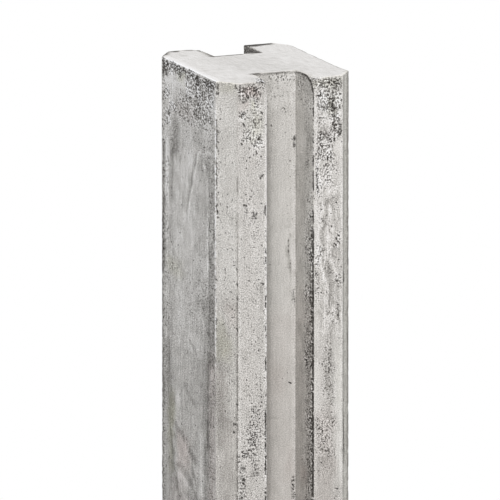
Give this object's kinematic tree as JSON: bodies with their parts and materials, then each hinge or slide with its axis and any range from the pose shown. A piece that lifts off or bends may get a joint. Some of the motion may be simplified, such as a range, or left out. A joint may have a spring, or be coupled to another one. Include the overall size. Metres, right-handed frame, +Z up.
{
  "type": "slotted concrete fence post",
  "caption": "Cast concrete fence post with an H-shaped section: a slot down two opposite faces holds the fence panels, and all upright corners are chamfered.",
  "frame": {"origin": "middle of the foot, on the ground", "axes": "+Z up along the post, X across the slotted faces, Y across the plain faces, with a slot open to -Y and one to +Y"},
  "size_m": [0.1, 0.125, 1.8],
  "materials": {
    "cast_concrete": "weathered pale grey cast concrete, matt, pitted by air bubbles"
  },
  "bodies": {
    "root": {"concrete_post": "cast_concrete"}
  },
  "joints": []
}
